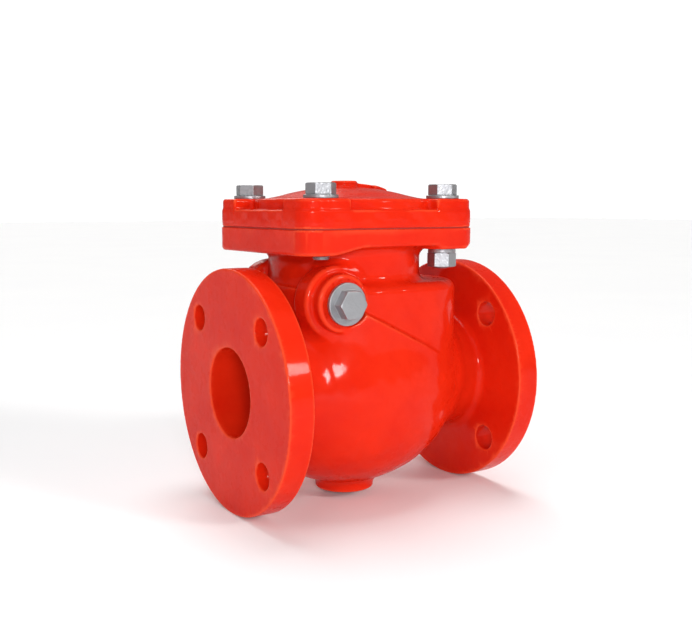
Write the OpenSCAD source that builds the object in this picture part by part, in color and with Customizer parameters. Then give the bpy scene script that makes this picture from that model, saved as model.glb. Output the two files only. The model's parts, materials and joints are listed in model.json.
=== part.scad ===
// Flanged swing check valve, DN 65, with a square bolted cover.
// Frame: origin at the centre of the inlet flange face, +X along the flow, +Z up.

/* [Pipe ends] */
// Length between the two pipe flange faces
face_to_face = 216; // [212:1:220]
// Outer diameter of the pipe flanges
flange_d = 178; // [174:1:186]
// Thickness of the pipe flanges
flange_t = 18.5; // [16:0.5:20]
// Bolt circle of the pipe flanges
flange_pcd = 139.7; // [136:0.1:145]
// Bolt hole in the pipe flanges
flange_hole_d = 19; // [16:0.5:22]
// How much larger the outlet flange is drilled than the inlet one
outlet_hole_extra = 0.4; // [0.4:0.1:0.8]
// Bore of both pipe ends
bore_d = 65; // [60:1:66]

/* [Chamber] */
// Radius of the round lower bulb
bulb_r = 79.5; // [78:0.5:81]
// Wall thickness of the chamber
wall = 8.5; // [7:0.5:9]
// Width of the chamber across the flow
chamber_w = 130; // [128:1:134]
// Height of the shoulder under the neck
shoulder_z = 78; // [76:1:80]
// Outer radius of the round neck below the cover
neck_r = 57; // [56:1:59]

/* [Cover] */
// Length of the cover along the flow
cover_l = 148; // [144:1:152]
// Width of the cover across the flow
cover_w = 135; // [133:1:139]
// Spacing of the cover bolts, both ways
cover_pitch = 105; // [104:0.5:106]
// Height of the gasket face on the body
gasket_z = 116.8; // [115:0.2:118]
// Thickness of the cover plate
cover_t = 12.5; // [11:0.5:14]
// Thickness of the body's cover flange at the nuts
body_flange_t = 15.2; // [14:0.2:16]

/* [Clapper] */
// Distance of the hinge pin from the inlet face
pin_x = 59.5; // [59:0.5:60.5]
// Height of the hinge pin above the pipe axis
pin_z = 66; // [65:0.5:67]
// Diameter of the hinge pin
pin_d = 10; // [9:0.5:10]
// Radius of the disc
disc_r = 39.5; // [39:0.5:41]

/* [Hidden] */
$fn = 96;

red = "#e0301e";
zinc = "#a9abad";
bronze = "#b08a4a";
steel = "#c4c6c8";
rubber = "#202022";
fibre = "#4b5a50";

// Small overlap that makes cuts run past a face
cut = 1;
bore_r = bore_d / 2;
flange_r = flange_d / 2;

// Chamber: plan outline of the upper part and the bulb below it
chamber_x0 = 41;
chamber_x1 = 179;
chamber_corner_r = 50;
cavity_x0 = 50;
bulb_x = 105;
bulb_z = 2;
bulb_flat_y = 69;
inner_w = chamber_w - 2 * wall;
inner_x1 = chamber_x1 - wall;
cavity_r = bulb_r - wall;
cavity_top_z = shoulder_z - wall;

// Cover joint
cover_x = 98;
neck_bore_r = neck_r - 7;
cover_corner_r = 14;
gasket_t = 0.8;
cover_z = gasket_z + gasket_t;
plate_top_z = cover_z + cover_t;
drum_r = 65;
drum_top_z = 138;
dome_r = 52;
dome_rise = 9;
cap_r = 10.5;
cap_top_z = 151.5;
corner_half = 24;
corner_r = 9;
corner_inset = 1.2;
body_flange_z = gasket_z - body_flange_t;
// the flange is thinner between its corners, and thicker at the two tapped ones
flange_web_z = body_flange_z + 2.8;
nut_pad_r = 15.2;
lump_r = 15;
lump_z = body_flange_z - 2.2;

// Cover bolts: M12, with nuts at the outlet side and tapped holes at the hinge side
bolt_r = 6;
bolt_hole_r = 6.75;
bolt_af = 18.5;
bolt_head_t = 8;
bolt_washer_r = 12;
washer_t = 2.5;
nut_washer_r = 10.2;
nut_washer_t = 3;
nut_t = 10.5;
bolt_end = 1;
tapped_r = 6.05;
head_z = drum_top_z + washer_t;
nut_z = body_flange_z - nut_washer_t - nut_t;

// Seat ring in the inlet wall
seat_pocket_x = 40;
seat_pocket_r = 40;
seat_fit = 0.1;
seat_x = 53.7;
seat_land_r = 36.5;
seat_bore_r = bore_r - 1.5;

// Flat wall inside the chamber around the outlet
outlet_wall_x = 166;

// Hinge: bosses, bushes and plugs on both sides
boss_r = 26;
boss_y = 52;
boss_top_r = 20.5;
boss_top_y = 60.5;
boss_root_y = 40;
spot_r = 16.5;
plug_hole_r = 10.5;
plug_thread_r = 10.4;
plug_y0 = 51;
bush_r = 8;
bush_y0 = 40;
bush_y1 = 50;
bush_seat_y = 12;
pin_r = pin_d / 2;
pin_y = 49.5;
pin_fit = 0.05;
seal_t = 1.5;
collar_r = 15;
collar_t = 3;
plug_af = 19;
plug_hex_t = 8;

// Arm, stacked along X behind the disc
arm_w = 24;
hub_r = 8.5;
arm_bush_r = 6.8;
arm_x0 = 72;
arm_x1 = 82;
eye_r = 17;
eye_bore_r = 11;
stud_r = 8;
spacer_r = 7.5;
side_gap = 0.4;

// Disc, stacked along X from the seat
facing_x = 54;
disc_x0 = 59;
disc_x1 = 67;
disc_hub_x = 70;
disc_hub_r = 14;
facing_r0 = 26;
facing_r1 = 38.5;
stud_end_x = 101;
stud_washer_x = 82.4;
stud_washer_t = 2.5;
castle_x = stud_washer_x + stud_washer_t;
castle_solid_t = 9;
castle_t = 14;
castle_af = 24;
slot_w = 4;
split_pin_r = 1.5;
split_pin_x = castle_x + 11.5;
thrust_x0 = 70;
thrust_x1 = 71.6;
screw_pcd = 34;
screw_count = 4;

// Drain boss under the chamber
drain_boss_r = 22.5;
drain_boss_z = -83.6;
drain_r = 9;

// Turns a shape drawn along Z so that it runs along +X from x = 0
module along_x() { rotate([0, 90, 0]) children(); }

// Places a shape drawn along Z at the pin, running outwards; side is -1 (near) or 1 (far)
module at_side(side) {
    translate([pin_x, 0, pin_z]) rotate([side > 0 ? -90 : 90, 0, 0]) children();
}

// Cylinder with a 45 degree chamfer at its top edge
module chamfered(r, h, c) {
    rotate_extrude() polygon([[0, 0], [r, 0], [r, h - c], [r - c, h], [0, h]]);
}

// Plain ring from z0 to z1
module ring(r0, r1, z0, z1) {
    rotate_extrude() translate([r0, z0]) square([r1 - r0, z1 - z0]);
}

// Rounded rectangle in the XY plane, from x0 to x1 and centred on y = 0
module rounded_plan(x0, x1, w, r) {
    translate([x0 + r, -w / 2]) square([x1 - x0 - 2 * r, w]);
    translate([x0, -w / 2 + r]) square([x1 - x0, w - 2 * r]);
    for (x = [x0 + r, x1 - r], y = [-w / 2 + r, w / 2 - r])
        translate([x, y]) circle(r);
}

// Repeats a shape at the cover bolts; ends picks inlet (-1) or outlet (1), sides near or far
module at_cover_bolts(ends = [-1, 1], sides = [-1, 1]) {
    for (x = ends, y = sides)
        translate([cover_x + x * cover_pitch / 2, y * cover_pitch / 2, 0]) children();
}

// Hexagon across flats af, with rounded-off corners at its top
module hex_head(af, h) {
    intersection() {
        cylinder(r = af / sqrt(3), h = h, $fn = 6);
        chamfered(af / sqrt(3), h, 0.9);
    }
}

// Pipe flange from x0 to x1, with its four bolt holes
module pipe_flange(x0, hole_d) {
    difference() {
        translate([x0, 0, 0]) along_x() cylinder(r = flange_r, h = flange_t);
        for (a = [45:90:315])
            rotate([a, 0, 0]) translate([x0 - cut, 0, flange_pcd / 2])
                along_x() cylinder(d = hole_d, h = flange_t + 2 * cut);
    }
}

// Outline shared by the cover, its gasket and the body's cover flange
module cover_plan(grow = 0) {
    rounded_plan(cover_x - cover_l / 2 - grow, cover_x + cover_l / 2 + grow,
                 cover_w + 2 * grow, cover_corner_r + grow);
}

// Outside of the casting, without any hollow
module body_outside() {
    pipe_flange(0, flange_hole_d);
    pipe_flange(face_to_face - flange_t, flange_hole_d + outlet_hole_extra);
    // inlet and outlet necks
    translate([flange_t - cut, 0, 0]) along_x() cylinder(r = 50, h = 40);
    translate([150, 0, 0]) along_x() cylinder(r = 45, h = face_to_face - flange_t - 150 + cut);
    // upper chamber with upright walls
    linear_extrude(shoulder_z) rounded_plan(chamber_x0, chamber_x1, chamber_w, chamber_corner_r);
    // round bulb, flattened at its sides
    intersection() {
        translate([bulb_x, 0, bulb_z]) sphere(r = bulb_r);
        translate([20, -bulb_flat_y, -100])
            cube([chamber_x1 - 20, 2 * bulb_flat_y, 100 + shoulder_z - 5]);
    }
    // neck and cover flange
    translate([cover_x, 0, shoulder_z - 10]) cylinder(r = neck_r, h = gasket_z - shoulder_z);
    translate([0, 0, flange_web_z]) linear_extrude(gasket_z - flange_web_z) cover_plan(0.5);
    at_cover_bolts([1]) translate([0, 0, body_flange_z]) cylinder(r = nut_pad_r, h = 10);
    at_cover_bolts([-1]) translate([0, 0, lump_z]) cylinder(r = lump_r, h = 12);
    // bosses for the hinge pin
    for (side = [-1, 1]) at_side(side) {
        translate([0, 0, boss_root_y]) cylinder(r = boss_r, h = boss_y - boss_root_y);
        translate([0, 0, boss_root_y]) cylinder(r = boss_top_r, h = boss_top_y - boss_root_y);
    }
    // drain boss
    translate([cover_x, 0, drain_boss_z]) cylinder(r = drain_boss_r, h = 30);
}

// Hollow of the casting: waterway, chamber and neck
module body_hollow() {
    translate([-cut, 0, 0]) along_x() cylinder(r = bore_r, h = cavity_x0 + 2 * cut);
    translate([seat_pocket_x, 0, 0]) along_x() cylinder(r = seat_pocket_r, h = 20);
    translate([150, 0, 0]) along_x() cylinder(r = bore_r, h = face_to_face - 150 + cut);
    intersection() {
        union() {
            linear_extrude(cavity_top_z)
                rounded_plan(cavity_x0, inner_x1, inner_w, chamber_corner_r - wall);
            translate([bulb_x, 0, bulb_z]) sphere(r = cavity_r);
        }
        translate([cavity_x0, -inner_w / 2, -100])
            cube([outlet_wall_x - cavity_x0, inner_w, 100 + cavity_top_z]);
    }
    translate([cover_x, 0, cavity_top_z - 10]) cylinder(r = neck_bore_r, h = 60);
}

module body() {
    color(red) difference() {
        body_outside();
        body_hollow();
        at_cover_bolts([1]) translate([0, 0, body_flange_z - 20])
            cylinder(r = bolt_hole_r, h = body_flange_t + 30);
        at_cover_bolts([-1]) translate([0, 0, lump_z - 2]) cylinder(r = tapped_r, h = 30);
        for (side = [-1, 1]) at_side(side) {
            translate([0, 0, plug_y0 - cut]) cylinder(r = plug_hole_r, h = 20);
            translate([0, 0, bush_seat_y]) cylinder(r = bush_r, h = plug_y0 - bush_seat_y);
            translate([0, 0, boss_top_y]) cylinder(r = spot_r, h = 20);
        }
        translate([cover_x, 0, drain_boss_z - cut]) cylinder(r = drain_r, h = 30);
    }
}

// Cover: square plate, round drum, shallow dome, round cap and four raised corners
module cover() {
    color(red) difference() {
        union() {
            translate([0, 0, cover_z]) linear_extrude(cover_t) cover_plan();
            translate([cover_x, 0, 0]) rotate_extrude() polygon([
                [0, cover_z], [drum_r, cover_z], [drum_r, drum_top_z - 2], [drum_r - 2, drum_top_z],
                for (a = [0:15:90]) [dome_r * cos(a), drum_top_z + dome_rise * sin(a)]]);
            translate([cover_x, 0, drum_top_z]) chamfered(cap_r, cap_top_z - drum_top_z, 1.5);
            intersection() {
                translate([0, 0, cover_z]) linear_extrude(drum_top_z - cover_z)
                    cover_plan(-corner_inset);
                at_cover_bolts() translate([0, 0, cover_z]) linear_extrude(drum_top_z - cover_z)
                    rounded_plan(-corner_half, corner_half, 2 * corner_half, corner_r);
            }
        }
        // hollow under the dome
        translate([cover_x, 0, 0]) rotate_extrude() polygon([
            [0, cover_z - cut], [46, cover_z - cut], [44, cover_z + 6], [40, cover_z + 12],
            [28, cover_z + 17], [0, cover_z + 19]]);
        at_cover_bolts() translate([0, 0, cover_z - cut])
            cylinder(r = bolt_hole_r, h = drum_top_z - cover_z + 2 * cut);
    }
}

module cover_gasket() {
    color(fibre) difference() {
        translate([0, 0, gasket_z]) linear_extrude(gasket_t) cover_plan(-0.5);
        translate([cover_x, 0, gasket_z - cut]) cylinder(r = neck_bore_r, h = gasket_t + 2 * cut);
        at_cover_bolts() translate([0, 0, gasket_z - cut])
            cylinder(r = bolt_hole_r, h = gasket_t + 2 * cut);
    }
}

// Hexagon bolt hanging from its head, down to the given height
module cover_bolt(end_z) {
    translate([0, 0, head_z]) hex_head(bolt_af, bolt_head_t);
    translate([0, 0, head_z]) mirror([0, 0, 1]) chamfered(bolt_r, head_z - end_z, 1);
}

module cover_bolts() {
    color(zinc) {
        at_cover_bolts([1]) cover_bolt(nut_z - bolt_end);
        at_cover_bolts([-1], [-1]) cover_bolt(lump_z - 3);
        at_cover_bolts([-1], [1]) cover_bolt(lump_z + 1);
    }
}

module cover_bolt_washers() {
    color(zinc) at_cover_bolts() ring(bolt_r + 0.3, bolt_washer_r, drum_top_z, head_z);
}

module cover_nut_washers() {
    color(zinc) at_cover_bolts([1])
        ring(bolt_r + 0.3, nut_washer_r, body_flange_z - nut_washer_t, body_flange_z);
}

module cover_nuts() {
    color(zinc) at_cover_bolts([1]) difference() {
        translate([0, 0, nut_z + nut_t]) mirror([0, 0, 1]) hex_head(bolt_af, nut_t);
        translate([0, 0, nut_z - cut]) cylinder(r = bolt_r + 0.05, h = nut_t + 2 * cut);
    }
}

module seat_ring() {
    color(bronze) translate([seat_pocket_x, 0, 0]) along_x() rotate_extrude() polygon([
        [seat_bore_r, 0], [seat_pocket_r - seat_fit, 0], [seat_pocket_r - seat_fit, 12],
        [seat_land_r, 13], [seat_land_r, seat_x - seat_pocket_x],
        [seat_bore_r + 0.6, seat_x - seat_pocket_x],
        [seat_bore_r, seat_x - seat_pocket_x - 0.6]]);
}

module drain_plug() {
    color(zinc) difference() {
        translate([cover_x, 0, drain_boss_z + 1]) cylinder(r = drain_r - 0.1, h = 12);
        translate([cover_x, 0, drain_boss_z]) cylinder(r = 5.8, h = 7, $fn = 6);
    }
}

module hinge_pin() {
    color(steel) at_side(1) translate([0, 0, -pin_y]) rotate_extrude() polygon([
        [0, 0], [pin_r - 0.8, 0], [pin_r, 0.8], [pin_r, 2 * pin_y - 0.8],
        [pin_r - 0.8, 2 * pin_y], [0, 2 * pin_y]]);
}

module hinge_bush(side) {
    color(bronze) at_side(side) ring(pin_r + pin_fit, bush_r - 0.02, bush_y0, bush_y1);
}
module hinge_bush_near() { hinge_bush(-1); }
module hinge_bush_far() { hinge_bush(1); }

// Hexagon plug with a round collar and a threaded shank
module pin_plug(side) {
    color(zinc) at_side(side) {
        translate([0, 0, plug_y0]) cylinder(r = plug_thread_r, h = boss_top_y - plug_y0 + seal_t);
        translate([0, 0, boss_top_y + seal_t]) chamfered(collar_r, collar_t, 0.6);
        translate([0, 0, boss_top_y + seal_t + collar_t]) hex_head(plug_af, plug_hex_t);
    }
}
module pin_plug_near() { pin_plug(-1); }
module pin_plug_far() { pin_plug(1); }

module plug_washer(side) {
    color(bronze) at_side(side) ring(plug_thread_r + 0.2, 14, boss_top_y, boss_top_y + seal_t);
}
module plug_washer_near() { plug_washer(-1); }
module plug_washer_far() { plug_washer(1); }

// Sleeve on the pin that keeps the arm in the middle
module pin_spacer(side) {
    color(bronze) at_side(side)
        ring(pin_r + 0.2, spacer_r, arm_w / 2 + side_gap, bush_y0 - 0.05);
}
module pin_spacer_near() { pin_spacer(-1); }
module pin_spacer_far() { pin_spacer(1); }

// Arm: hub on the pin, bent web with a rib, and an eye around the disc's stud
module hinge_arm() {
    color(steel) difference() {
        union() {
            translate([pin_x, arm_w / 2, pin_z]) rotate([90, 0, 0]) cylinder(r = hub_r, h = arm_w);
            rotate([90, 0, 0]) translate([0, 0, -9]) linear_extrude(18) polygon([
                [pin_x - 2, pin_z - 7], [arm_x0, 44], [arm_x0, 0], [arm_x1, 0], [arm_x1, 46],
                [pin_x + 9, pin_z + 2], [pin_x, pin_z + 7]]);
            rotate([90, 0, 0]) translate([0, 0, -3.5]) linear_extrude(7) polygon([
                [arm_x1 - 1, 12], [arm_x1 + 4, 16], [arm_x1 + 6, 44],
                [pin_x + 14, pin_z + 1], [arm_x1 - 8, 50]]);
            translate([arm_x0, 0, 0]) along_x() cylinder(r = eye_r, h = arm_x1 - arm_x0);
        }
        translate([pin_x, arm_w / 2 + cut, pin_z]) rotate([90, 0, 0])
            cylinder(r = arm_bush_r, h = arm_w + 2 * cut);
        translate([arm_x0 - cut, 0, 0]) along_x() cylinder(r = eye_bore_r, h = 12);
        translate([arm_x1, 0, 0]) along_x() cylinder(r = eye_r - 1.5, h = 8);
    }
}

module arm_bush() {
    color(bronze) translate([pin_x, 0, pin_z]) rotate([90, 0, 0])
        ring(pin_r + pin_fit, arm_bush_r - 0.02, -arm_w / 2, arm_w / 2);
}

module eye_bush() {
    color(bronze) along_x() ring(stud_r + pin_fit, eye_bore_r - 0.02, arm_x0, arm_x1);
}

// Disc with a raised hub and the stud that carries it
module disc() {
    color(steel) difference() {
        along_x() rotate_extrude() polygon([
            [0, disc_x0], [disc_r, disc_x0], [disc_r, disc_x1 - 3], [disc_r - 3, disc_x1],
            [disc_hub_r + 2, disc_x1 + 0.6], [disc_hub_r, disc_hub_x], [stud_r, disc_hub_x],
            [stud_r, stud_end_x - 1.2], [stud_r - 1.2, stud_end_x], [0, stud_end_x]]);
        translate([split_pin_x, 0, -stud_r - cut]) cylinder(r = split_pin_r + 0.1, h = 2 * stud_r + 2 * cut);
    }
}

module disc_facing() {
    color(rubber) along_x() ring(facing_r0, facing_r1, facing_x, disc_x0);
}

module facing_plate() {
    color(steel) along_x() rotate_extrude() polygon([
        [0, facing_x - 1.5], [22, facing_x - 1.5], [facing_r0 - 0.1, facing_x + 1],
        [facing_r0 - 0.1, disc_x0], [0, disc_x0]]);
}

// Cap screws that hold the facing plate, heads towards the inlet
module facing_screws() {
    color(steel) for (i = [0:screw_count - 1])
        rotate([45 + i * 360 / screw_count, 0, 0])
            translate([facing_x - 1.5, 0, screw_pcd / 2]) rotate([0, -90, 0]) difference() {
                chamfered(4, 3.5, 0.4);
                translate([0, 0, 1.5]) cylinder(r = 2.2, h = 3, $fn = 6);
            }
}

module thrust_washer() {
    color(bronze) along_x() ring(stud_r + 0.1, disc_hub_r, thrust_x0, thrust_x1);
}

module stud_washer() {
    color(steel) along_x()
        ring(stud_r + 0.1, 15, stud_washer_x, stud_washer_x + stud_washer_t);
}

// Slotted hexagon nut
module castle_nut() {
    color(steel) difference() {
        translate([castle_x, 0, 0]) along_x() {
            cylinder(r = castle_af / sqrt(3), h = castle_solid_t, $fn = 6);
            cylinder(r = castle_af / 2 - 0.5, h = castle_t);
        }
        translate([castle_x - cut, 0, 0]) along_x() cylinder(r = stud_r + 0.05, h = castle_t + 2 * cut);
        for (a = [0, 60, 120]) rotate([a, 0, 0])
            translate([castle_x + castle_solid_t, -slot_w / 2, -15]) cube([10, slot_w, 30]);
    }
}

// Split pin through the stud, with its eye above
module split_pin() {
    color(steel) {
        translate([split_pin_x, 0, -13.5]) cylinder(r = split_pin_r, h = 30);
        translate([split_pin_x, 0, 18.5]) rotate([90, 0, 0])
            rotate_extrude() translate([2.6, 0]) circle(r = 1.1, $fn = 24);
    }
}

body();
cover();
cover_gasket();
cover_bolts();
cover_bolt_washers();
cover_nut_washers();
cover_nuts();
seat_ring();
drain_plug();
hinge_pin();
hinge_bush_near();
hinge_bush_far();
pin_plug_near();
pin_plug_far();
plug_washer_near();
plug_washer_far();
pin_spacer_near();
pin_spacer_far();
hinge_arm();
arm_bush();
eye_bush();
disc();
disc_facing();
facing_plate();
facing_screws();
thrust_washer();
stud_washer();
castle_nut();
split_pin();
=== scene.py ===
"""Looks of a flanged swing check valve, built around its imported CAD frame.

The two castings and the fasteners that show are rounded solids, described by distance
functions in millimetres and meshed here. The inner parts keep their CAD shapes.
"""
import json
import math

import bpy
import numpy as np
from mathutils import Matrix, Vector

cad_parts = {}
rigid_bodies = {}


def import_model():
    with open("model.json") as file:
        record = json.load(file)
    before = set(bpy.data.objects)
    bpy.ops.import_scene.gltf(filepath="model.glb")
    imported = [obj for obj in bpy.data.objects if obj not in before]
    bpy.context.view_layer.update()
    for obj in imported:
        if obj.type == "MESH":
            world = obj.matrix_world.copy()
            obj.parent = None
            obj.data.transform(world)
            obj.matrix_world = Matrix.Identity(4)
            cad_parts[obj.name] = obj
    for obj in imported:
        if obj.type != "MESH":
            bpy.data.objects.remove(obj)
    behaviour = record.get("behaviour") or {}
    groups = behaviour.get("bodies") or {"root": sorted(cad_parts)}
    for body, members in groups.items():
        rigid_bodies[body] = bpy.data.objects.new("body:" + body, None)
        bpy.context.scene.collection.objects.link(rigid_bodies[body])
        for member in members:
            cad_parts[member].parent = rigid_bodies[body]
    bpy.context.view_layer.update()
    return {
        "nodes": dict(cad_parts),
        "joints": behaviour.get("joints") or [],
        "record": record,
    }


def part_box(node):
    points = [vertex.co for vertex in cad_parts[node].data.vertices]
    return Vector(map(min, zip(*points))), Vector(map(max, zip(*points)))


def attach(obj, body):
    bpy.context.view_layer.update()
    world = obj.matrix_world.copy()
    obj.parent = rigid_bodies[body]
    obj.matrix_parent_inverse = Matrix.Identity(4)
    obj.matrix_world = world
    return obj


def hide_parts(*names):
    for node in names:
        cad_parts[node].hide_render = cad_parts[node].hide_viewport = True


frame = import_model()

MM = 0.001  # millimetres to metres
ROOT_BODY = frame["joints"][0]["parent"]


def box_mm(node):
    """Lowest and highest corners of a CAD node, in millimetres."""
    low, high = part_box(node)
    return np.array(low) / MM, np.array(high) / MM


# ---------------------------------------------------------------- sizes, all in millimetres
body_low, body_high = box_mm("body")
cover_low, cover_high = box_mm("cover")
gasket_low, gasket_high = box_mm("cover_gasket")
pin_low, pin_high = box_mm("hinge_pin")
plug_low, plug_high = box_mm("pin_plug_near")
washer_low, washer_high = box_mm("cover_bolt_washers")
nut_low, nut_high = box_mm("cover_nuts")
under_low, under_high = box_mm("cover_nut_washers")
bolt_low, bolt_high = box_mm("cover_bolts")
drain_low, drain_high = box_mm("drain_plug")
seat_low = box_mm("seat_ring")[0]

LENGTH = body_high[0]
FLANGE_R = round(body_high[1])
FLANGE_T = 18.5
FLANGE_HOLE_R = 9.5
HOLE_PCD_R = 139.7 / 2
BORE_R = 32.5
COVER_X = (cover_low[0] + cover_high[0]) / 2
COVER_HALF = (cover_high[0] - cover_low[0]) / 2, (cover_high[1] - cover_low[1]) / 2
COVER_CORNER_R = 14
COVER_Z = gasket_high[2]
COVER_TOP = cover_high[2]
PLATE_T = 12.5
DRUM_TOP = washer_low[2]
BODY_TOP = gasket_low[2]
BODY_FLANGE_Z = under_high[2]
WEB_Z = BODY_FLANGE_Z + 2.8
DEEP_Z = BODY_FLANGE_Z - 2.2
WASHER_R = 12
NUT_WASHER_R = 10.2
BOLT_HOLE_R = 6.75
TAPPED_R = 6.05
BOLT_R = 6
BOLT_AF = 18.5
HEAD_Z = washer_high[2]
HEAD_T = bolt_high[2] - HEAD_Z
PITCH = ((washer_high[0] - washer_low[0]) / 2 - WASHER_R,
         (washer_high[1] - washer_low[1]) / 2 - WASHER_R)
PIN_X = (pin_low[0] + pin_high[0]) / 2
PIN_Z = (pin_low[2] + pin_high[2]) / 2
SHOULDER_Z = 78
NECK_R = 57
NECK_BORE_R = 50
CHAMBER_MID = 110
CHAMBER_HALF = 69, 65
CHAMBER_R = 50
CHAMBER_LOW_Z = -8
RIDGE_Z, RIDGE_SLOPE = 98, 0.504  # height of the ridge line at x = 0, and its fall along x
RIDGE_OUT = 3.9
RIDGE_END_X = 150
BULB_MID = (101, 0, -4.3)
BULB_AXES = (89.5, 72, 74.6)
BOSS_R, BOSS_Y = 26, 52
BOSS_TOP_R, BOSS_TOP_Y = 20.5, 60.5
BOSS_ROOT_Y = 34  # hinge bosses start inside the wall
DRAIN_BOSS_R, DRAIN_BOSS_Z = 22.5, -83.6
INLET_PIPE_R, OUTLET_PIPE_R = 52, 45
CAVITY_X = 50
OUTLET_WALL_X = 166
CAVITY_MID = CHAMBER_MID + 0.3
CAVITY_HALF = 60.2, 56.5
CAVITY_CORNER_R = 41.5
ROOF_T = 8.5
INNER_BULB_MID, INNER_BULB_R = (105, 0, 2), 71
SEAT_POCKET_R = 40
SPOT_FACE_R = 16.5
PLUG_BORE_R, PLUG_BORE_Y = 10.5, 50
BUSH_BORE_R, BUSH_BORE_Y = 8, 12
DRAIN_BORE_R = 9


# ---------------------------------------------------------------- distance functions
# Each is negative inside its solid and positive outside.
def length2(a, b):
    return np.sqrt(a * a + b * b)


def rounded_pair(a, b, edge):
    """Solid where both distances are negative, with its shared edge rounded."""
    a, b = a + edge, b + edge
    outside = length2(np.maximum(a, 0), np.maximum(b, 0))
    return outside + np.minimum(np.maximum(a, b), 0) - edge


def slab(h, h0, h1):
    return np.abs(h - (h0 + h1) / 2) - (h1 - h0) / 2


def cylinder(radial, h, r, h0, h1, edge=0.5):
    return rounded_pair(radial - r, slab(h, h0, h1), edge)


def rounded_rect(x, y, half_x, half_y, r):
    qx, qy = np.abs(x) - (half_x - r), np.abs(y) - (half_y - r)
    return length2(np.maximum(qx, 0), np.maximum(qy, 0)) + np.minimum(np.maximum(qx, qy), 0) - r


def fillet(a, b, r):
    """Union with a fillet of radius r in the corner between the two."""
    u, v = np.maximum(r - a, 0), np.maximum(r - b, 0)
    return np.maximum(r, np.minimum(a, b)) - length2(u, v)


def cut(a, b, r):
    """a without b, with the edge rounded to radius r."""
    return -fillet(-a, b, r)


def blend(a, b, k):
    """Union with a soft transition about k wide."""
    h = np.maximum(k - np.abs(a - b), 0) / k
    return np.minimum(a, b) - h * h * k / 4


def smooth_step(t):
    t = np.clip(t, 0, 1)
    return t * t * (3 - 2 * t)


def ellipsoid(x, y, z, mid, axes):
    px, py, pz = x - mid[0], y - mid[1], z - mid[2]
    k0 = np.sqrt((px / axes[0]) ** 2 + (py / axes[1]) ** 2 + (pz / axes[2]) ** 2)
    k1 = np.sqrt((px / axes[0] ** 2) ** 2 + (py / axes[1] ** 2) ** 2 + (pz / axes[2] ** 2) ** 2)
    return k0 * (k0 - 1) / np.maximum(k1, 1e-9)


def hexagon(x, y, flats, turn=0.0):
    """Distance to a hexagon of the given width across flats, in its own plane."""
    angles = [turn + k * math.pi / 3 for k in range(3)]
    return np.maximum.reduce([np.abs(x * math.cos(a) + y * math.sin(a)) - flats / 2
                              for a in angles])


def cast_waves(x, y, z):
    """Slow unevenness of a sand casting."""
    return (np.sin(0.19 * x + 1.1) * np.sin(0.23 * y + 0.4) * np.sin(0.21 * z + 2.0)
            + 0.5 * np.sin(0.41 * x + 0.3 * z) * np.sin(0.37 * y + 0.5))


# ---------------------------------------------------------------- meshing
def grid_mesh(shape, low, high, step):
    """Quads on the surface shape = 0, by surface nets refined onto the surface."""
    block = 4
    count = [int(math.ceil((high[i] - low[i]) / step / block)) * block for i in range(3)]
    axes = [low[i] + step * np.arange(count[i] + 1) for i in range(3)]
    rough = shape(*np.meshgrid(*(a[::block] for a in axes), indexing="ij"))
    near = np.abs(rough) < 1.3 * block * step
    active = np.zeros([c // block for c in count], bool)
    for corner in np.ndindex(2, 2, 2):
        cells = tuple(slice(o, near.shape[i] - 1 + o) for i, o in enumerate(corner))
        active |= near[cells]
    value = rough[:-1, :-1, :-1]
    wanted = active
    for axis in range(3):
        value = np.repeat(value, block, axis)
        wanted = np.repeat(wanted, block, axis)
    value = np.pad(value, [(0, 1)] * 3, mode="edge")
    wanted = np.pad(wanted, [(0, 1)] * 3)
    for axis in range(3):
        wanted |= np.roll(wanted, 1, axis)
    index = np.nonzero(wanted)
    value[index] = shape(*(axes[i][index[i]] for i in range(3)))

    inside = value < 0
    corner_count = np.zeros(count, np.int8)
    for corner in np.ndindex(2, 2, 2):
        corner_count += inside[tuple(slice(o, count[i] + o) for i, o in enumerate(corner))]
    cell = np.nonzero((corner_count > 0) & (corner_count < 8))
    number = np.full(count, -1, np.int64)
    number[cell] = np.arange(len(cell[0]))
    total = np.zeros((len(cell[0]), 3))
    hits = np.zeros(len(cell[0]))
    for axis in range(3):
        for side in np.ndindex(2, 2):
            first = list(side)
            first.insert(axis, 0)
            last = list(side)
            last.insert(axis, 1)
            a = value[tuple(cell[i] + first[i] for i in range(3))]
            b = value[tuple(cell[i] + last[i] for i in range(3))]
            crossing = (a < 0) != (b < 0)
            t = np.where(crossing, a / np.where(crossing, a - b, 1), 0)
            for i in range(3):
                total[:, i] += np.where(crossing, first[i] + (t if i == axis else 0), 0)
            hits += crossing
    points = total / hits[:, None]
    points = np.stack([low[i] + step * (cell[i] + points[:, i]) for i in range(3)], 1)

    quads = []
    for axis in range(3):
        j, k = (axis + 1) % 3, (axis + 2) % 3
        low_end = [slice(1, count[i]) for i in range(3)]
        low_end[axis] = slice(0, count[axis])
        high_end = list(low_end)
        high_end[axis] = slice(1, count[axis] + 1)
        here, there = inside[tuple(low_end)], inside[tuple(high_end)]
        for flip, edges in ((False, here & ~there), (True, ~here & there)):
            at = list(np.nonzero(edges))
            at[j] = at[j] + 1
            at[k] = at[k] + 1
            ring = []
            for dj, dk in ((-1, -1), (0, -1), (0, 0), (-1, 0)):
                spot = list(at)
                spot[j] = at[j] + dj
                spot[k] = at[k] + dk
                ring.append(number[tuple(spot)])
            quads.append(np.stack(ring[::-1] if flip else ring, 1))
    return settle(shape, points, step), np.concatenate(quads)


def gradient(shape, points, reach=0.02):
    """Slope of the distance function, from differences over twice the reach."""
    result = np.empty_like(points)
    for i in range(3):
        step = np.zeros(3)
        step[i] = reach
        ahead, behind = points + step, points - step
        result[:, i] = (shape(*ahead.T) - shape(*behind.T)) / (2 * reach)
    return result


def normals(shape, points, reach):
    """Unit normals of the surface at the points."""
    slope = gradient(shape, points, reach)
    return slope / np.maximum(np.sqrt((slope ** 2).sum(1)), 1e-9)[:, None]


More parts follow.
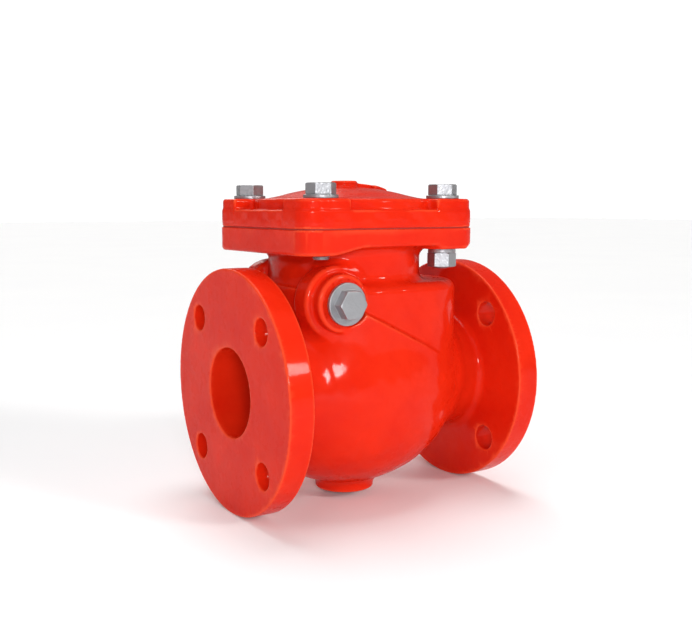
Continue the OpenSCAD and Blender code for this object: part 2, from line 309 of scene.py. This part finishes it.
def settle(shape, points, step, rounds=3):
    """Moves points along the gradient onto the surface."""
    for _ in range(rounds):
        slope = gradient(shape, points)
        square = np.maximum((slope ** 2).sum(1), 0.05)
        move = slope * (shape(*points.T) / square)[:, None]
        size = np.sqrt((move ** 2).sum(1))
        move *= np.minimum(1, 0.6 * step / np.maximum(size, 1e-9))[:, None]
        points = points - move
    return points


def new_object(name, points, faces):
    """A mesh object from points in millimetres."""
    mesh = bpy.data.meshes.new(name)
    mesh.from_pydata(points * MM, [], faces)
    mesh.validate()
    mesh.update()
    mesh.polygons.foreach_set("use_smooth", np.ones(len(mesh.polygons), bool))
    obj = bpy.data.objects.new(name, mesh)
    bpy.context.scene.collection.objects.link(obj)
    return obj


def thin_out(obj, keep):
    """Removes the faces that flat areas don't need."""
    modifier = obj.modifiers.new("thin", "DECIMATE")
    modifier.ratio = keep
    depsgraph = bpy.context.evaluated_depsgraph_get()
    mesh = bpy.data.meshes.new_from_object(obj.evaluated_get(depsgraph))
    obj.modifiers.clear()
    old, obj.data = obj.data, mesh
    bpy.data.meshes.remove(old)
    mesh.name = obj.name


def points_mm(mesh):
    """Vertices of a mesh, in millimetres."""
    points = np.empty(len(mesh.vertices) * 3)
    mesh.vertices.foreach_get("co", points)
    return points.reshape(-1, 3) / MM


def shade_by(obj, shape):
    """Gives the mesh the surface's own normals."""
    mesh = obj.data
    mesh.polygons.foreach_set("use_smooth", np.ones(len(mesh.polygons), bool))
    mesh.normals_split_custom_set_from_vertices(normals(shape, points_mm(mesh), 0.12))


def solid_piece(name, shape, low, high, step, keep=1.0):
    """A mesh object of the solid where shape is negative, between two corners."""
    points, quads = grid_mesh(shape, np.array(low, float), np.array(high, float), step)
    obj = new_object(name, points, quads)
    if keep < 1:
        thin_out(obj, keep)
    shade_by(obj, shape)
    return obj


# ---------------------------------------------------------------- body casting
def chamber_wall(x, y, z):
    """Plan distance of the upper chamber, with the step where its flat side meets the bulb."""
    below = (RIDGE_Z - RIDGE_SLOPE * x) - z
    out = RIDGE_OUT * smooth_step(below / 3.4) * smooth_step((RIDGE_END_X - x) / 40)
    return rounded_rect(x - CHAMBER_MID, y, *CHAMBER_HALF, CHAMBER_R) - out


def cover_flange(x, y, z):
    """Square flange under the cover, deeper at its nuts and deepest at the hinge end."""
    dx, dy = x - COVER_X, np.abs(y) - PITCH[1]
    plan = rounded_rect(dx, y, COVER_HALF[0] + 0.5, COVER_HALF[1] + 0.5, COVER_CORNER_R + 0.5)
    pad = smooth_step((22 - length2(dx - PITCH[0], dy)) / 5)
    deep = smooth_step((76 - x) / 32)
    under = WEB_Z - (WEB_Z - BODY_FLANGE_Z) * pad - (WEB_Z - DEEP_Z) * deep
    solid = rounded_pair(plan, (under - z) * 0.8, 2.0)
    return rounded_pair(solid, z - BODY_TOP, 0.4)


def body_outside(x, y, z):
    """The body without its cavities: chamber, bulb, pipes, bosses, neck and flanges."""
    from_axis = length2(y, z)
    from_cover = length2(x - COVER_X, y)
    from_pin = length2(x - PIN_X, z - PIN_Z)
    side = np.abs(y)
    upper = rounded_pair(chamber_wall(x, y, z), slab(z, CHAMBER_LOW_Z, SHOULDER_Z), 7)
    solid = blend(upper, ellipsoid(x, y, z, BULB_MID, BULB_AXES), 9)
    solid = fillet(solid, cylinder(from_axis, x, INLET_PIPE_R, 8, 70, 1), 8)
    solid = fillet(solid, cylinder(from_axis, x, OUTLET_PIPE_R, 140, LENGTH - 8, 1), 9)
    solid = solid + 0.16 * cast_waves(x, y, z)
    solid = fillet(solid, cylinder(from_pin, side, BOSS_R, BOSS_ROOT_Y, BOSS_Y, 3.2), 5)
    solid = fillet(solid, cylinder(from_pin, side, BOSS_TOP_R, BOSS_ROOT_Y, BOSS_TOP_Y, 2.4), 2)
    solid = fillet(solid, cylinder(from_cover, z, NECK_R, 60, BODY_FLANGE_Z + 6, 1), 6)
    solid = fillet(solid, cylinder(from_cover, z, DRAIN_BOSS_R, DRAIN_BOSS_Z, -50, 1.5), 5)
    flange = cylinder(from_axis, x, FLANGE_R, 0, FLANGE_T, 1.1)
    far_flange = cylinder(from_axis, x, FLANGE_R, LENGTH - FLANGE_T, LENGTH, 1.1)
    solid = fillet(fillet(solid, flange, 6), far_flange, 6)
    return fillet(solid, cover_flange(x, y, z), 6)


def body_hollow(x, y, z):
    """The chamber's inside with its bores and the pocket of the seat ring."""
    from_axis = length2(y, z)
    inner = rounded_rect(x - CAVITY_MID, y, *CAVITY_HALF, CAVITY_CORNER_R)
    upper = rounded_pair(inner, slab(z, CHAMBER_LOW_Z, SHOULDER_Z - ROOF_T), 3)
    mid_x, mid_y, mid_z = INNER_BULB_MID
    bulb = np.sqrt((x - mid_x) ** 2 + (y - mid_y) ** 2 + (z - mid_z) ** 2) - INNER_BULB_R
    limits = np.maximum(slab(x, CAVITY_X, OUTLET_WALL_X), np.abs(y) - CAVITY_HALF[1])
    room = rounded_pair(blend(upper, bulb, 6), limits, 1.5)
    neck = cylinder(length2(x - COVER_X, y), z, NECK_BORE_R, 50, BODY_TOP + 9)
    passage = cylinder(from_axis, x, BORE_R, -9, CAVITY_X + 4)
    way_out = cylinder(from_axis, x, BORE_R, OUTLET_WALL_X - 9, LENGTH + 9)
    pocket = cylinder(from_axis, x, SEAT_POCKET_R, seat_low[0], CAVITY_X + 4, 0.1)
    return np.minimum.reduce([room, neck, passage, way_out, pocket])


def body_drilling(x, y, z):
    """All drilled holes and spot faces."""
    from_pin = length2(x - PIN_X, z - PIN_Z)
    offset = HOLE_PCD_R * math.sqrt(0.5)
    bolts = length2(np.abs(y) - offset, np.abs(z) - offset) - FLANGE_HOLE_R
    bolts = np.maximum(bolts, -slab(x, FLANGE_T + 12, LENGTH - FLANGE_T - 12))
    cover_bolts = length2(np.abs(x - COVER_X) - PITCH[0], np.abs(y) - PITCH[1])
    cover_bolts = cover_bolts - np.where(x < COVER_X, TAPPED_R, BOLT_HOLE_R)
    cover_bolts = np.maximum(cover_bolts, 90 - z)
    spot = np.maximum(from_pin - SPOT_FACE_R, BOSS_TOP_Y - np.abs(y))
    plug = np.maximum(from_pin - PLUG_BORE_R, PLUG_BORE_Y - np.abs(y))
    bush = np.maximum(from_pin - BUSH_BORE_R, BUSH_BORE_Y - np.abs(y))
    drain = np.maximum(length2(x - COVER_X, y) - DRAIN_BORE_R, z + 60)
    return np.minimum.reduce([bolts, cover_bolts, spot, plug, bush, drain])


def body_shape(x, y, z):
    solid = cut(body_outside(x, y, z), body_hollow(x, y, z), 0.9)
    return cut(solid, body_drilling(x, y, z), 0.7)


# ---------------------------------------------------------------- cover casting
DOME_R, DOME_RISE = 56, 9
DOME_SPHERE_R = (DOME_R ** 2 + DOME_RISE ** 2) / (2 * DOME_RISE)
DRUM_R = 66.5
CORNER_R = 15.5
CAP_R = 9.8
ARROW_RISE = 3.0
ARROW_LENGTH, ARROW_HEAD_X = 40, 22
COVER_HOLLOW_AXES = (46, 46, 19)


def flow_arrow(x, y):
    """Plan distance of a plain arrow along the flow, from the cap outwards."""
    shaft = np.maximum(slab(x, 0, 27), np.abs(y) - 4)
    slope = (np.abs(y) * 2 + (x - ARROW_LENGTH)) / math.sqrt(5)
    head = np.maximum(slope, ARROW_HEAD_X - x)
    return np.minimum(shaft, head)


def cover_shape(x, y, z):
    """Square plate with corner bosses, drum, shallow dome, arrow and cap."""
    dx = x - COVER_X
    radial = length2(dx, y)
    plate = rounded_rect(dx, y, *COVER_HALF, COVER_CORNER_R)
    base = rounded_pair(rounded_pair(plate, z - COVER_Z - PLATE_T, 1.4), COVER_Z - z, 0.4)
    corner_x, corner_y = np.abs(dx) - PITCH[0], np.abs(y) - PITCH[1]
    corners = length2(np.minimum(corner_x, 0), np.minimum(corner_y, 0)) - CORNER_R
    raised = rounded_pair(fillet(radial - DRUM_R, corners, 6), plate + 0.6, 1.5)
    raised = rounded_pair(raised, slab(z, COVER_Z + 2, DRUM_TOP), 2.4)
    solid = fillet(base, raised, 1.6)
    sphere_z = DRUM_TOP + DOME_RISE - DOME_SPHERE_R
    sphere = length2(radial, z - sphere_z) - DOME_SPHERE_R
    dome = np.maximum(sphere, COVER_Z + 8 - z)
    solid = blend(solid, np.maximum(dome, radial - DRUM_R + 1), 3)
    solid = solid + 0.1 * cast_waves(x, y, z) * smooth_step((z - COVER_Z - 3) / 4)
    arrow = rounded_pair(flow_arrow(dx, y), np.maximum(sphere - ARROW_RISE, DRUM_TOP - z), 0.9)
    solid = fillet(solid, arrow, 1.0)
    solid = fillet(solid, cylinder(radial, z, CAP_R, DRUM_TOP, COVER_TOP, 1.3), 2)
    inner = ellipsoid(x, y, z, (COVER_X, 0, COVER_Z), COVER_HOLLOW_AXES)
    solid = cut(solid, np.maximum(inner, COVER_Z - 9 - z), 0.8)
    holes = length2(np.abs(dx) - PITCH[0], np.abs(y) - PITCH[1]) - BOLT_HOLE_R
    return cut(solid, holes, 0.5)


# ---------------------------------------------------------------- fasteners
def hex_block(x, y, z, flats, z0, z1, both_ends=False, turn=0.0):
    """Hexagon from z0 to z1 with the usual rounded-off corners."""
    corner = flats / math.sqrt(3)
    block = rounded_pair(hexagon(x, y, flats, turn), slab(z, z0, z1), 0.35)
    radial = length2(x, y)
    top_cone = (radial - corner + 1.1) * 0.5 + (z - z1) * 0.866
    block = np.maximum(block, top_cone)
    if both_ends:
        block = np.maximum(block, (radial - corner + 1.1) * 0.5 + (z0 - z) * 0.866)
    return block


def thread(x, y, z, r, pitch, depth):
    """Cylinder with a helical groove."""
    turn = np.arctan2(y, x) / (2 * math.pi)
    wave = np.abs(((z / pitch - turn) % 1.0) - 0.5) * 2
    return (length2(x, y) - r + depth * smooth_step(wave * 1.3 - 0.15)) * 0.8


def bolt_shape(end_z):
    def shape(x, y, z):
        radial = length2(x, y)
        head = hex_block(x, y, z, BOLT_AF, HEAD_Z, HEAD_Z + HEAD_T)
        dish = np.maximum(radial - 0.42 * BOLT_AF, HEAD_Z + HEAD_T - 0.35 - z)
        head = np.maximum(head, -dish)
        shank = np.maximum(radial - BOLT_R + 0.05, slab(z, end_z + 18, HEAD_Z + 1))
        end = np.maximum(thread(x, y, z, BOLT_R, 1.75, 0.9), slab(z, end_z, end_z + 18.5))
        end = np.maximum(end, (radial - BOLT_R + 1) * 0.7 + (end_z - z) * 0.7)
        return np.minimum(head, np.minimum(shank, end))
    return shape


def nut_shape(x, y, z):
    block = hex_block(x, y, z, BOLT_AF, nut_low[2], nut_high[2], both_ends=True)
    hole = length2(x, y) - BOLT_R - 0.05
    mouth = (length2(x, y) - BOLT_R - 0.9) * 0.7 + (z - nut_low[2]) * 0.7
    return np.maximum(np.maximum(block, -hole), -mouth)


def washer_shape(r, z0, z1):
    def shape(x, y, z):
        radial = length2(x, y)
        return rounded_pair(np.maximum(radial - r, BOLT_R + 0.3 - radial), slab(z, z0, z1), 0.4)
    return shape


def plug_shape(x, y, z):
    """Hinge plug along +Z from its thread to its hexagon."""
    reach = plug_high[1] - plug_low[1]
    radial = length2(x, y)
    collar = cylinder(radial, z, 15, reach - 11, reach - 8, 0.6)
    hexagon_head = hex_block(x, y, z, 19, reach - 9, reach, turn=math.pi / 6)
    shank = np.maximum(thread(x, y, z, 10.4, 1.8, 0.9), slab(z, 0, reach - 10))
    return np.minimum(fillet(collar, hexagon_head, 0.5), shank)


def drain_shape(x, y, z):
    radial = length2(x, y)
    solid = np.maximum(thread(x, y, z, 8.85, 1.5, 0.7), slab(z, drain_low[2], drain_high[2]))
    solid = np.maximum(solid, (radial - 8.2) * 0.7 + (drain_low[2] - z) * 0.7)
    socket = np.maximum(hexagon(x, y, 10), z - drain_low[2] - 6)
    return cut(solid, socket, 0.3)


def piece_at(name, size, step, keep, *groups):
    """One mesh from small parts drawn on the Z axis: groups of shape, z range and places."""
    all_points, all_faces, all_normals = [], [], []
    start = 0
    for shape, z_range, places in groups:
        low = [-size, -size, z_range[0] - 2 * step]
        high = [size, size, z_range[1] + 2 * step]
        one = solid_piece(name + "_one", shape, low, high, step, keep)
        mesh = one.data
        points = points_mm(mesh)
        faces = [tuple(p.vertices) for p in mesh.polygons]
        outward = normals(shape, points, 0.05)
        for place in places:
            spin = np.array(place.to_3x3())
            all_points.append(points @ spin.T + np.array(place.translation))
            all_normals.append(outward @ spin.T)
            all_faces += [tuple(v + start for v in f) for f in faces]
            start += len(points)
        bpy.data.objects.remove(one)
        bpy.data.meshes.remove(mesh)
    obj = new_object(name, np.concatenate(all_points), all_faces)
    obj.data.normals_split_custom_set_from_vertices(np.concatenate(all_normals))
    return obj


def cover_bolt_places(end, turns):
    """Places of the near and far bolt at the inlet end (-1) or the outlet end (1)."""
    return [Matrix.Translation((COVER_X + end * PITCH[0], side * PITCH[1], 0))
            @ Matrix.Rotation(math.radians(turn), 4, "Z")
            for side, turn in zip((-1, 1), turns)]


# ---------------------------------------------------------------- materials
def new_material(name):
    """A material whose Principled shader and object coordinates are ready to use."""
    material = bpy.data.materials.new(name)
    material.use_nodes = True
    tree = material.node_tree
    shader = tree.nodes["Principled BSDF"]
    place = tree.nodes.new("ShaderNodeTexCoord").outputs["Object"]
    return material, tree, shader, place


def noise(tree, place, scale, detail=3.0, roughness=0.55):
    node = tree.nodes.new("ShaderNodeTexNoise")
    node.inputs["Scale"].default_value = scale
    node.inputs["Detail"].default_value = detail
    node.inputs["Roughness"].default_value = roughness
    tree.links.new(place, node.inputs["Vector"])
    return node.outputs["Fac"]


def span(tree, value, low, high, to_low, to_high):
    """The value, with low..high mapped onto to_low..to_high."""
    node = tree.nodes.new("ShaderNodeMapRange")
    for key, number in (("From Min", low), ("From Max", high),
                        ("To Min", to_low), ("To Max", to_high)):
        node.inputs[key].default_value = number
    tree.links.new(value, node.inputs["Value"])
    return node.outputs["Result"]


def ramp(tree, value, stops):
    node = tree.nodes.new("ShaderNodeValToRGB")
    elements = node.color_ramp.elements
    while len(elements) < len(stops):
        elements.new(0.5)
    for element, (position, colour) in zip(elements, stops):
        element.position = position
        element.color = (*colour, 1)
    tree.links.new(value, node.inputs["Fac"])
    return node.outputs["Color"]


def mix_colour(tree, factor, first, second):
    node = tree.nodes.new("ShaderNodeMix")
    node.data_type = "RGBA"
    tree.links.new(factor, node.inputs["Factor"])
    for socket, value in ((node.inputs["A"], first), (node.inputs["B"], second)):
        if isinstance(value, tuple):
            socket.default_value = (*value, 1)
        else:
            tree.links.new(value, socket)
    return node.outputs["Result"]


def math_node(tree, operation, first, second):
    node = tree.nodes.new("ShaderNodeMath")
    node.operation = operation
    for socket, value in zip(node.inputs, (first, second)):
        if isinstance(value, (int, float)):
            socket.default_value = value
        else:
            tree.links.new(value, socket)
    return node.outputs["Value"]


def bump(tree, shader, height, strength, distance, before=None):
    node = tree.nodes.new("ShaderNodeBump")
    node.inputs["Strength"].default_value = strength
    node.inputs["Distance"].default_value = distance
    tree.links.new(height, node.inputs["Height"])
    if before is not None:
        tree.links.new(before, node.inputs["Normal"])
    tree.links.new(node.outputs["Normal"], shader.inputs["Normal"])
    return node.outputs["Normal"]


def edges_of(tree, low=0.505, high=0.56):
    """1 on outer edges, 0 elsewhere."""
    geometry = tree.nodes.new("ShaderNodeNewGeometry")
    return span(tree, geometry.outputs["Pointiness"], low, high, 0.0, 1.0)


def red_paint():
    """Glossy red epoxy over a sand casting: orange peel, slow waves, and lighter orange on
    outer edges that is partly thin paint and partly a painted highlight.
    """
    material, tree, shader, place = new_material("red_epoxy")
    cloud = noise(tree, place, 28, 4)
    colour = ramp(tree, cloud, [(0.30, (0.64, 0.013, 0.003)), (0.55, (0.69, 0.019, 0.004)),
                                (0.75, (0.75, 0.022, 0.005))])
    # Lighter orange on outer edges: a painted highlight along the edges, partly thin paint.
    colour = mix_colour(tree, edges_of(tree, 0.515, 0.575), colour, (0.88, 0.090, 0.030))
    tree.links.new(colour, shader.inputs["Base Color"])
    tree.links.new(span(tree, noise(tree, place, 90, 5, 0.6), 0.3, 0.7, 0.22, 0.36),
                   shader.inputs["Roughness"])
    shader.inputs["Specular IOR Level"].default_value = 0.02
    shader.inputs["Specular Tint"].default_value = (1.0, 0.82, 0.66, 1)
    shader.inputs["Coat Weight"].default_value = 0.21
    shader.inputs["Coat Roughness"].default_value = 0.07
    slow = bump(tree, shader, noise(tree, place, 55, 2), 0.45, 0.0018)
    peel = bump(tree, shader, noise(tree, place, 380, 2, 0.5), 0.25, 0.00025, slow)
    bump(tree, shader, noise(tree, place, 1500, 3, 0.6), 0.10, 0.00005, peel)
    return material


def zinc_steel():
    """Galvanised steel: pale grey spangles, dull spots and fine scratches."""
    material, tree, shader, place = new_material("zinc_steel")
    cells = tree.nodes.new("ShaderNodeTexVoronoi")
    cells.inputs["Scale"].default_value = 520
    tree.links.new(place, cells.inputs["Vector"])
    spangle = span(tree, cells.outputs["Distance"], 0.0, 0.7, 0.0, 1.0)
    dirt = noise(tree, place, 210, 6, 0.7)
    shade = math_node(tree, "MULTIPLY_ADD", spangle, 0.35)
    mixed = math_node(tree, "ADD", shade, dirt)
    colour = ramp(tree, mixed, [(0.38, (0.05, 0.05, 0.06)), (0.62, (0.16, 0.165, 0.18)),
                                (0.88, (0.35, 0.355, 0.375))])
    colour = mix_colour(tree, edges_of(tree, 0.52, 0.62), colour, (0.37, 0.38, 0.40))
    tree.links.new(colour, shader.inputs["Base Color"])
    shader.inputs["Metallic"].default_value = 0.85
    tree.links.new(span(tree, dirt, 0.3, 0.75, 0.32, 0.55), shader.inputs["Roughness"])
    coarse = bump(tree, shader, spangle, 0.28, 0.0003)
    bump(tree, shader, noise(tree, place, 1300, 4, 0.7), 0.2, 0.0001, coarse)
    return material


def machined_metal(name, dark, light, roughness):
    """Turned metal: fine tool marks, slight stain."""
    material, tree, shader, place = new_material(name)
    stain = noise(tree, place, 70, 5, 0.6)
    tree.links.new(ramp(tree, stain, [(0.3, dark), (0.7, light)]), shader.inputs["Base Color"])
    shader.inputs["Metallic"].default_value = 1.0
    marks = tree.nodes.new("ShaderNodeTexWave")
    marks.wave_type = "RINGS"
    marks.rings_direction = "X"
    marks.inputs["Scale"].default_value = 900
    marks.inputs["Distortion"].default_value = 1.5
    tree.links.new(place, marks.inputs["Vector"])
    tree.links.new(span(tree, stain, 0.3, 0.7, roughness, roughness + 0.14),
                   shader.inputs["Roughness"])
    first = bump(tree, shader, marks.outputs["Fac"], 0.15, 0.00006)
    bump(tree, shader, noise(tree, place, 900, 3), 0.15, 0.00006, first)
    return material


def rubber():
    """Matt black rubber with a faint bloom."""
    material, tree, shader, place = new_material("epdm_rubber")
    bloom = noise(tree, place, 160, 5, 0.65)
    colour = ramp(tree, bloom, [(0.35, (0.012, 0.012, 0.013)), (0.75, (0.045, 0.045, 0.047))])
    tree.links.new(colour, shader.inputs["Base Color"])
    tree.links.new(span(tree, bloom, 0.3, 0.7, 0.55, 0.8), shader.inputs["Roughness"])
    bump(tree, shader, noise(tree, place, 1800, 3), 0.35, 0.00008)
    return material


def gasket_fibre():
    """Pressed fibre sheet with short strands, with red paint on its edge."""
    material, tree, shader, place = new_material("gasket_fibre")
    stretch = tree.nodes.new("ShaderNodeMapping")
    stretch.inputs["Scale"].default_value = (1, 1, 6)
    tree.links.new(place, stretch.inputs["Vector"])
    strands = noise(tree, stretch.outputs["Vector"], 700, 5, 0.7)
    colour = ramp(tree, strands, [(0.3, (0.26, 0.009, 0.005)), (0.75, (0.42, 0.016, 0.008))])
    tree.links.new(colour, shader.inputs["Base Color"])
    tree.links.new(span(tree, strands, 0.3, 0.7, 0.6, 0.85), shader.inputs["Roughness"])
    bump(tree, shader, strands, 0.4, 0.00015)
    return material


PAINT = red_paint()
ZINC = zinc_steel()
BRONZE = machined_metal("bronze", (0.42, 0.25, 0.10), (0.62, 0.42, 0.19), 0.28)
STEEL = machined_metal("stainless", (0.42, 0.42, 0.42), (0.60, 0.60, 0.59), 0.26)
RUBBER = rubber()
FIBRE = gasket_fibre()
BY_SLOT = {"casting_paint": PAINT, "zinc_steel": ZINC, "bronze": BRONZE, "stainless": STEEL,
           "rubber": RUBBER, "gasket_fibre": FIBRE}

for part in frame["record"]["subparts"]:
    node = frame["nodes"][part["node"]]
    node.data.materials.clear()
    node.data.materials.append(BY_SLOT[part["material_slot"]])


def place_piece(obj, node, slot="zinc_steel"):
    """A finished piece stands for a CAD node of the valve's fixed body."""
    obj.data.materials.append(BY_SLOT[slot])
    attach(obj, ROOT_BODY)
    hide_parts(node)


# ---------------------------------------------------------------- pieces
CASTING_STEP = 1.25
COVER_STEP = 1.0
place_piece(solid_piece("body_casting", body_shape, body_low - 3, body_high + 3,
                        CASTING_STEP, 0.55), "body", "casting_paint")
place_piece(solid_piece("cover_casting", cover_shape, cover_low - 3, cover_high + 3,
                        COVER_STEP, 0.7), "cover", "casting_paint")

tapped_near, tapped_far = cover_bolt_places(-1, (9, 48))
place_piece(piece_at("hex_bolts", 12, 0.42, 0.5,
                     (bolt_shape(DEEP_Z - 3), (DEEP_Z - 3, bolt_high[2]), [tapped_near]),
                     (bolt_shape(DEEP_Z + 1), (DEEP_Z + 1, bolt_high[2]), [tapped_far]),
                     (bolt_shape(bolt_low[2]), (bolt_low[2], bolt_high[2]),
                      cover_bolt_places(1, (1, 32)))),
            "cover_bolts")
place_piece(piece_at("hex_nuts", 12, 0.45, 0.5,
                     (nut_shape, (nut_low[2], nut_high[2]), cover_bolt_places(1, (51, 22)))),
            "cover_nuts")
place_piece(piece_at("bolt_washers", 14, 0.4, 0.5,
                     (washer_shape(WASHER_R, washer_low[2], washer_high[2]),
                      (washer_low[2], washer_high[2]),
                      cover_bolt_places(-1, (0, 0)) + cover_bolt_places(1, (0, 0)))),
            "cover_bolt_washers")
place_piece(piece_at("nut_washers", 12, 0.4, 0.5,
                     (washer_shape(NUT_WASHER_R, under_low[2], under_high[2]),
                      (under_low[2], under_high[2]), cover_bolt_places(1, (0, 0)))),
            "cover_nut_washers")
for side, name in ((-1, "near"), (1, "far")):
    inner_y = plug_high[1] if side < 0 else -plug_high[1]
    place = (Matrix.Translation((PIN_X, inner_y, PIN_Z))
             @ Matrix.Rotation(-side * math.pi / 2, 4, "X"))
    place_piece(piece_at("hex_plug_" + name, 17, 0.45, 0.6,
                         (plug_shape, (0, plug_high[1] - plug_low[1]), [place])),
                "pin_plug_" + name)
place_piece(piece_at("drain_socket_plug", 11, 0.45, 0.6,
                     (drain_shape, (drain_low[2], drain_high[2]),
                      [Matrix.Translation((COVER_X, 0, 0))])),
            "drain_plug")

# ---------------------------------------------------------------- stage, lights, camera
FLOOR_Z = -FLANGE_R * MM
FLOOR_HALF = 12.0
STAGE_MID = Vector((LENGTH / 2 * MM, 0, 0))


def stage_material():
    """Matt, nearly white paper."""
    material, tree, shader, place = new_material("pale_floor")
    cloud = noise(tree, place, 3, 3)
    colour = ramp(tree, cloud, [(0.3, (0.92, 0.94, 0.975)), (0.7, (0.94, 0.96, 0.99))])
    tree.links.new(colour, shader.inputs["Base Color"])
    shader.inputs["Roughness"].default_value = 0.9
    shader.inputs["Specular IOR Level"].default_value = 0.1
    return material


def floor():
    mesh = bpy.data.meshes.new("floor")
    corners = [(x * FLOOR_HALF, y * FLOOR_HALF, FLOOR_Z)
               for x, y in ((-1, -1), (1, -1), (1, 1), (-1, 1))]
    mesh.from_pydata(corners, [], [(0, 1, 2, 3)])
    obj = bpy.data.objects.new("floor", mesh)
    bpy.context.scene.collection.objects.link(obj)
    mesh.materials.append(stage_material())


def area_light(name, position, target, size, power):
    data = bpy.data.lights.new(name, "AREA")
    data.shape = "RECTANGLE"
    data.size, data.size_y = size
    data.energy = power
    obj = bpy.data.objects.new(name, data)
    obj.location = position
    aim = Vector(target) - Vector(position)
    obj.rotation_euler = aim.to_track_quat("-Z", "Y").to_euler()
    bpy.context.scene.collection.objects.link(obj)


def sun_light(name, towards, power, spread, colour):
    data = bpy.data.lights.new(name, "SUN")
    data.energy = power
    data.angle = math.radians(spread)
    data.color = colour
    obj = bpy.data.objects.new(name, data)
    obj.rotation_euler = Vector(towards).to_track_quat("-Z", "Y").to_euler()
    bpy.context.scene.collection.objects.link(obj)


def world_light():
    """White backdrop that lights the valve only softly."""
    world = bpy.data.worlds.new("studio")
    world.use_nodes = True
    tree = world.node_tree
    soft = tree.nodes["Background"]
    soft.inputs["Color"].default_value = (1, 0.96, 0.92, 1)
    soft.inputs["Strength"].default_value = 0.26
    backdrop = tree.nodes.new("ShaderNodeBackground")
    backdrop.inputs["Color"].default_value = (1, 1, 1, 1)
    backdrop.inputs["Strength"].default_value = 1.08
    rays = tree.nodes.new("ShaderNodeLightPath")
    mix = tree.nodes.new("ShaderNodeMixShader")
    tree.links.new(rays.outputs["Is Camera Ray"], mix.inputs["Fac"])
    tree.links.new(soft.outputs["Background"], mix.inputs[1])
    tree.links.new(backdrop.outputs["Background"], mix.inputs[2])
    tree.links.new(mix.outputs["Shader"], tree.nodes["World Output"].inputs["Surface"])
    bpy.context.scene.world = world


def camera():
    data = bpy.data.cameras.new("camera")
    data.sensor_width = 36
    data.lens = 48.1
    data.clip_end = 60
    obj = bpy.data.objects.new("camera", data)
    obj.location = (-0.2834, -0.5912, 0.1332)
    obj.rotation_euler = (math.radians(90 - 7.16), 0, math.radians(-32.95))
    bpy.context.scene.collection.objects.link(obj)
    bpy.context.scene.camera = obj


bpy.context.scene.view_settings.view_transform = "Standard"
floor()
world_light()
camera()
sun_light("key_sun", (-0.42, 0.80, -0.40), 1.1, 12, (1.0, 0.97, 0.92))
sun_light("top_sun", (-0.10, -0.20, -0.97), 1.5, 40, (1.0, 0.99, 0.97))
sun_light("left_sun", (0.62, 0.22, -0.75), 0.42, 50, (1.0, 0.97, 0.93))
sun_light("back_sun", (-0.25, -0.80, -0.52), 0.55, 25, (1.0, 0.96, 0.90))
area_light("front_box", (-0.51, -1.13, 0.33), STAGE_MID, (0.28, 0.16), 7.8)

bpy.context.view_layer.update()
